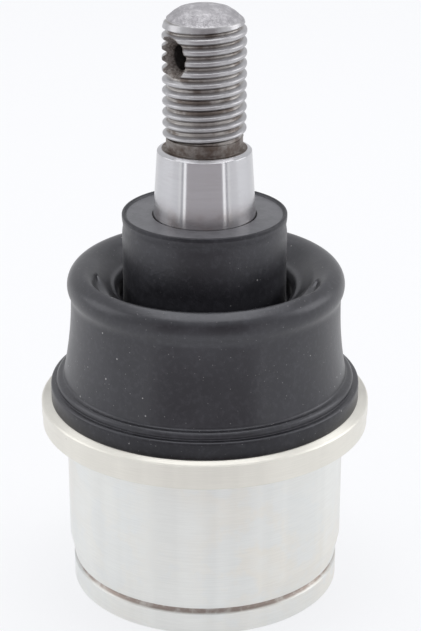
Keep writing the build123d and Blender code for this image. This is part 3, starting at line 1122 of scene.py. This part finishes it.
studio = {
    "background": (0.955, 0.963, 0.985),
    "floorColor": (0.93, 0.93, 0.94),
    "floorDepth": 0.00003,
    "floorSize": 4.0,
    "opening": 41.0,  # half angle of the darker camera side, degrees
    "openingColor": (0.44, 0.41, 0.425),
    "wallColor": (0.86, 0.865, 0.88),
    "stripAngle": (43.5, 48.5),
    "stripColor": (1.6, 1.6, 1.6),
    "lineAngle": (49.6, 54.0),  # thin darker gap beside each strip
    "lineColor": (0.52, 0.52, 0.54),
    "bandAngle": (56.0, 61.0),
    "bandColor": (1.0, 1.0, 1.0),
    "blur": 1.0,  # of their edges, degrees
    "floorFade": (0.135, 0.165),  # distances from the axis over which the floor mirrors the room
    "horizon": (0.45, 0.65),
    "worldLight": 0.80,
    "seenShare": 0.75,  # of the background's colour in what the camera sees of the floor
    "mirroredShare": 0.8,
}


def makeOpening():
    # masks of the darker side and of the bands beside it, from a flat direction
    tree, given, out = newGroup("room opening", {"X": 0.0, "Y": -1.0}, ["Dark", "Strip", "Line", "Band"])
    back = times(tree, given.outputs["Y"], -1.0)
    angle = mathNode(tree, "ABSOLUTE", mathNode(tree, "ARCTAN2", given.outputs["X"], back))
    opening = radians(studio["opening"])
    soft = radians(studio["blur"])
    setSockets(tree, out, {"Dark": fading(tree, angle, opening, opening + 2 * soft)})
    for label in ("Strip", "Line", "Band"):
        low, high = (radians(a) for a in studio[label.lower() + "Angle"])
        rise = spread(tree, angle, low - soft, low)
        setSockets(tree, out, {label: times(tree, rise, fading(tree, angle, high, high + soft))})
    return tree


roomOpening = makeOpening()


def roomColor(tree, x, y, gate):
    # pale room with the darker camera side, shown where the gate is 1
    opening = useGroup(tree, roomOpening, x=x, y=y)
    color = studio["wallColor"]
    tones = {"Dark": "openingColor", "Line": "lineColor", "Band": "bandColor", "Strip": "stripColor"}
    for label, tone in tones.items():
        color = blendColor(tree, times(tree, opening.outputs[label], gate), color, studio[tone])
    return color


def mixShaders(tree, share, first, second):
    return addNode(tree, "MixShader", {0: share, 1: first.outputs[0], 2: second.outputs[0]})


def makeFloor():
    s = studio
    half = s["floorSize"]
    corners = [(-half, -half), (half, -half), (half, half), (-half, half)]
    mesh = bpy.data.meshes.new("floor")
    mesh.from_pydata([(x, y, -s["floorDepth"]) for x, y in corners], [], [(0, 1, 2, 3)])
    floor = bpy.data.objects.new("floor", mesh)
    bpy.context.scene.collection.objects.link(floor)
    material = bpy.data.materials.new("pale floor")
    material.use_nodes = True
    tree = material.node_tree
    tree.nodes.clear()
    place = addNode(tree, "TexCoord").outputs["Object"]
    x, y = addNode(tree, "SeparateXYZ", {0: place}).outputs[:2]
    gate = spread(tree, vectorNode(tree, "LENGTH", flattened(tree, place)), *s["floorFade"])
    room = addNode(tree, "Emission", {"Color": roomColor(tree, x, y, gate)})
    plain = addNode(tree, "BsdfDiffuse", {"Color": (*s["floorColor"], 1)})
    seen = addNode(tree, "Emission", {"Color": (*s["background"], 1)})
    path = addNode(tree, "LightPath").outputs
    direct = mixShaders(tree, times(tree, path["Is Camera Ray"], s["seenShare"]), plain, seen)
    shiny = mathNode(tree, "MAXIMUM", path["Is Glossy Ray"], path["Is Transmission Ray"])
    whole = mixShaders(tree, times(tree, shiny, s["mirroredShare"]), direct, room)
    addNode(tree, "OutputMaterial", {0: whole.outputs[0]})
    mesh.materials.append(material)


def makeWorld():
    s = studio
    world = bpy.data.worlds.new("studio")
    bpy.context.scene.world = world
    world.use_nodes = True
    tree = world.node_tree
    tree.nodes.clear()
    way = addNode(tree, "TexCoord").outputs["Generated"]
    x, y, z = addNode(tree, "SeparateXYZ", {0: way}).outputs
    color = roomColor(tree, x, y, fading(tree, z, *s["horizon"]))
    room = addNode(tree, "Background", {"Color": color, "Strength": s["worldLight"]})
    seen = addNode(tree, "Background", {"Color": (*s["background"], 1), "Strength": 1.0})
    path = addNode(tree, "LightPath").outputs
    whole = mixShaders(tree, path["Is Camera Ray"], room, seen)
    addNode(tree, "OutputWorld", {0: whole.outputs[0]})


def addAimed(data, values):
    # a lamp or camera at its place, turned towards what it looks at
    made = bpy.data.objects.new(data.name, data)
    made.location = values["place"]
    sight = Vector(values["lookAt"]) - Vector(values["place"])
    made.rotation_euler = sight.to_track_quat("-Z", "Y").to_euler()
    bpy.context.scene.collection.objects.link(made)
    return made


# place, aim and size in metres, power in watts
lamps = [
    {"name": "top box", "place": (0.0, 0.15, 0.95), "lookAt": (0, 0, 0.05), "size": 0.8, "power": 3.4},
    {"name": "right box", "place": (0.85, 0.15, 0.45), "lookAt": (0, 0, 0.05), "size": 0.6, "power": 1.6},
    {"name": "left box", "place": (-0.85, 0.1, 0.45), "lookAt": (0, 0, 0.05), "size": 0.6, "power": 1.1},
]


def makeLamps():
    for values in lamps:
        data = bpy.data.lights.new(values["name"], "AREA")
        data.shape = "SQUARE"
        data.size = values["size"]
        data.energy = values["power"]
        addAimed(data, values)


camera = {
    "place": (0.00112, -0.3376, 0.1940),
    "lookAt": (0.00112, 0.0, 0.05526),
    "focalPixels": 1884.0,
    "pictureHeight": 631,
    "sensor": 36.0,
    "clipStart": 0.01,
}


def makeCamera():
    c = camera
    data = bpy.data.cameras.new("camera")
    data.sensor_width = c["sensor"]
    data.lens = c["focalPixels"] / c["pictureHeight"] * c["sensor"]
    data.clip_start = c["clipStart"]
    bpy.context.scene.camera = addAimed(data, c)


makeFloor()
makeWorld()
makeLamps()
makeCamera()
bpy.context.scene.view_settings.view_transform = "Standard"
print("studio made")
